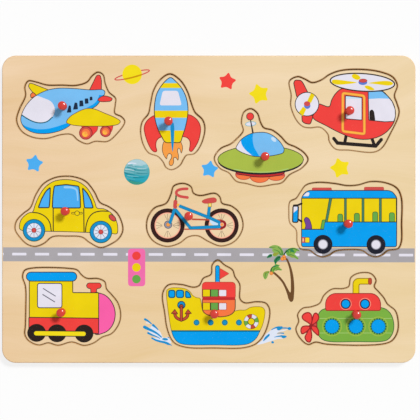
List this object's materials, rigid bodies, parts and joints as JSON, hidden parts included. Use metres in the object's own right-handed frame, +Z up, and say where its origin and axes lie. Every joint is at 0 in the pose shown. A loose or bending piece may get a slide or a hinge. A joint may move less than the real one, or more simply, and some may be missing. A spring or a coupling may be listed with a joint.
{
  "type": "peg puzzle",
  "caption": "Flat wooden peg puzzle: a printed panel on a plain backing, with vehicle-shaped recesses that each hold a lift-out printed piece with a red plastic peg.",
  "frame": {"origin": "middle of the board's underside", "axes": "+X to the right of the printed picture, +Y to its top, +Z up out of the printed face"},
  "size_m": [0.3, 0.223, 0.0185],
  "materials": {
    "backing_wood": "matte",
    "panel_print": "satin",
    "peg_plastic": "gloss",
    "plane_print": "satin",
    "rocket_print": "satin",
    "saucer_print": "satin",
    "helicopter_print": "satin",
    "car_print": "satin",
    "bicycle_print": "satin",
    "bus_print": "satin",
    "train_print": "satin",
    "ship_print": "satin",
    "submarine_print": "satin"
  },
  "bodies": {
    "board": {"backing_board": "backing_wood", "frame_panel": "panel_print"},
    "plane": {"plane_piece": "plane_print", "plane_peg": "peg_plastic"},
    "rocket": {"rocket_piece": "rocket_print", "rocket_peg": "peg_plastic"},
    "saucer": {"saucer_piece": "saucer_print", "saucer_peg": "peg_plastic"},
    "helicopter": {"helicopter_piece": "helicopter_print", "helicopter_peg": "peg_plastic"},
    "car": {"car_piece": "car_print", "car_peg": "peg_plastic"},
    "bicycle": {"bicycle_piece": "bicycle_print", "bicycle_peg": "peg_plastic"},
    "bus": {"bus_piece": "bus_print", "bus_peg": "peg_plastic"},
    "train": {"train_piece": "train_print", "train_peg": "peg_plastic"},
    "ship": {"ship_piece": "ship_print", "ship_peg": "peg_plastic"},
    "submarine": {"submarine_piece": "submarine_print", "submarine_peg": "peg_plastic"}
  },
  "joints": [
    {"name": "plane_lift", "type": "slide", "parent": "board", "child": "plane", "axis": [0, 0, 1], "range_m": [0, 0.03]},
    {"name": "rocket_lift", "type": "slide", "parent": "board", "child": "rocket", "axis": [0, 0, 1], "range_m": [0, 0.03]},
    {"name": "saucer_lift", "type": "slide", "parent": "board", "child": "saucer", "axis": [0, 0, 1], "range_m": [0, 0.03]},
    {"name": "helicopter_lift", "type": "slide", "parent": "board", "child": "helicopter", "axis": [0, 0, 1], "range_m": [0, 0.03]},
    {"name": "car_lift", "type": "slide", "parent": "board", "child": "car", "axis": [0, 0, 1], "range_m": [0, 0.03]},
    {"name": "bicycle_lift", "type": "slide", "parent": "board", "child": "bicycle", "axis": [0, 0, 1], "range_m": [0, 0.03]},
    {"name": "bus_lift", "type": "slide", "parent": "board", "child": "bus", "axis": [0, 0, 1], "range_m": [0, 0.03]},
    {"name": "train_lift", "type": "slide", "parent": "board", "child": "train", "axis": [0, 0, 1], "range_m": [0, 0.03]},
    {"name": "ship_lift", "type": "slide", "parent": "board", "child": "ship", "axis": [0, 0, 1], "range_m": [0, 0.03]},
    {"name": "submarine_lift", "type": "slide", "parent": "board", "child": "submarine", "axis": [0, 0, 1], "range_m": [0, 0.03]}
  ]
}
